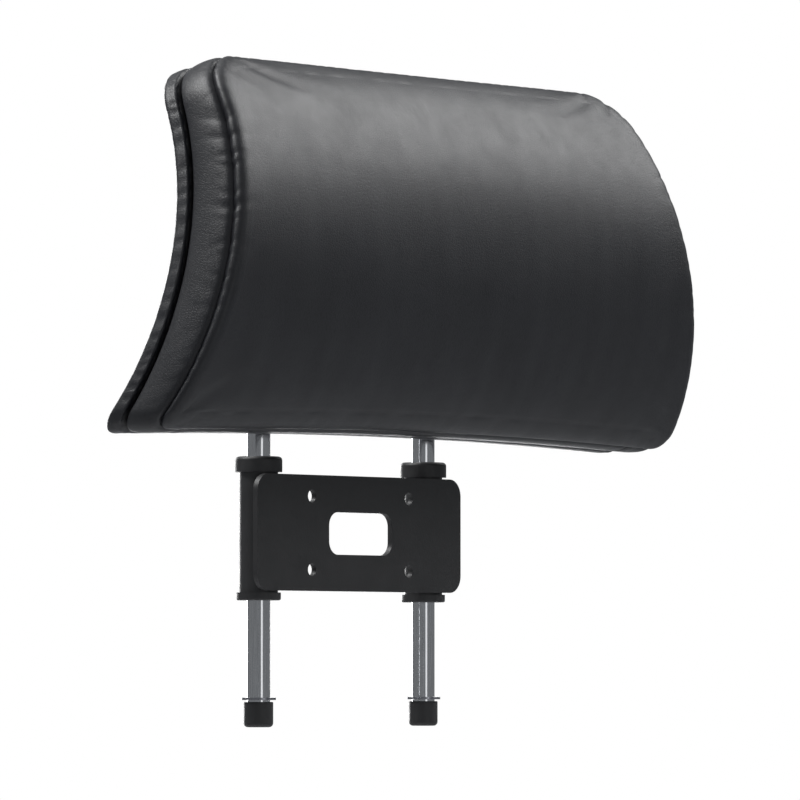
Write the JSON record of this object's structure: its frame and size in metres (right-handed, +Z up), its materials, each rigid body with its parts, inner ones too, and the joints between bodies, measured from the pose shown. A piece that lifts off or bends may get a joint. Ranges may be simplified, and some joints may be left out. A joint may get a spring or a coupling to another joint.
{
  "type": "chair headrest attachment",
  "caption": "Curved, leather-covered headrest pad that tilts on a U-shaped rod and slides up and down in a bracket bolted to a chair's back.",
  "frame": {"origin": "centre of the four bolt holes, on the mounting plate's front face, which goes against the chair's back", "axes": "+X towards the sitter's left, -Y forwards to the sitter, +Z up"},
  "size_m": [0.4186, 0.1025, 0.3388],
  "materials": {
    "black_steel": "satin powder coat",
    "black_nylon": "moulded, fine texture",
    "spring_steel": "bright",
    "chrome": "polished",
    "zinc_steel": "zinc plated",
    "cast_aluminium": "satin black paint over die-cast aluminium",
    "white_nylon": "natural nylon",
    "plywood": "raw pressed plywood",
    "foam": "cut polyurethane foam",
    "shell_plastic": "moulded, fine grain",
    "black_leather": "satin grain leather"
  },
  "bodies": {
    "base": {"mounting_plate": "black_steel", "guide_tube_left": "black_steel", "guide_tube_right": "black_steel", "upper_bush_left": "black_nylon", "upper_bush_right": "black_nylon", "lower_bush_left": "black_nylon", "lower_bush_right": "black_nylon", "detent_clip_left": "spring_steel", "detent_clip_right": "spring_steel"},
    "stem": {"support_rod": "chrome", "tilt_stop_pin": "zinc_steel", "stop_ring_left": "spring_steel", "stop_ring_right": "spring_steel", "rod_end_cap_left": "black_nylon", "rod_end_cap_right": "black_nylon"},
    "pad": {"tilt_bracket": "cast_aluminium", "clamp_cap_left": "cast_aluminium", "clamp_cap_right": "cast_aluminium", "friction_liner_left": "white_nylon", "friction_liner_right": "white_nylon", "clamp_screws": "zinc_steel", "clamp_washers": "zinc_steel", "bracket_screws": "zinc_steel", "tee_nuts": "zinc_steel", "backboard": "plywood", "foam_pad": "foam", "cover_front_panel": "black_leather", "cover_top_strip": "black_leather", "cover_bottom_strip": "black_leather", "cover_gusset_left": "black_leather", "cover_gusset_right": "black_leather", "cover_staples": "zinc_steel", "rear_shell": "shell_plastic", "rear_cover": "black_leather", "bracket_spacer": "shell_plastic", "shell_clips": "white_nylon"}
  },
  "joints": [
    {"name": "height_slide", "type": "slide", "parent": "base", "child": "stem", "axis": [0, 0, 1], "range_m": [0, 0.05], "deforming": ["detent_clip_left", "detent_clip_right"]},
    {"name": "tilt_hinge", "type": "hinge", "parent": "stem", "child": "pad", "pos_m": [0, 0.0126, 0.139], "axis": [1, 0, 0], "range_deg": [-25, 3]}
  ]
}
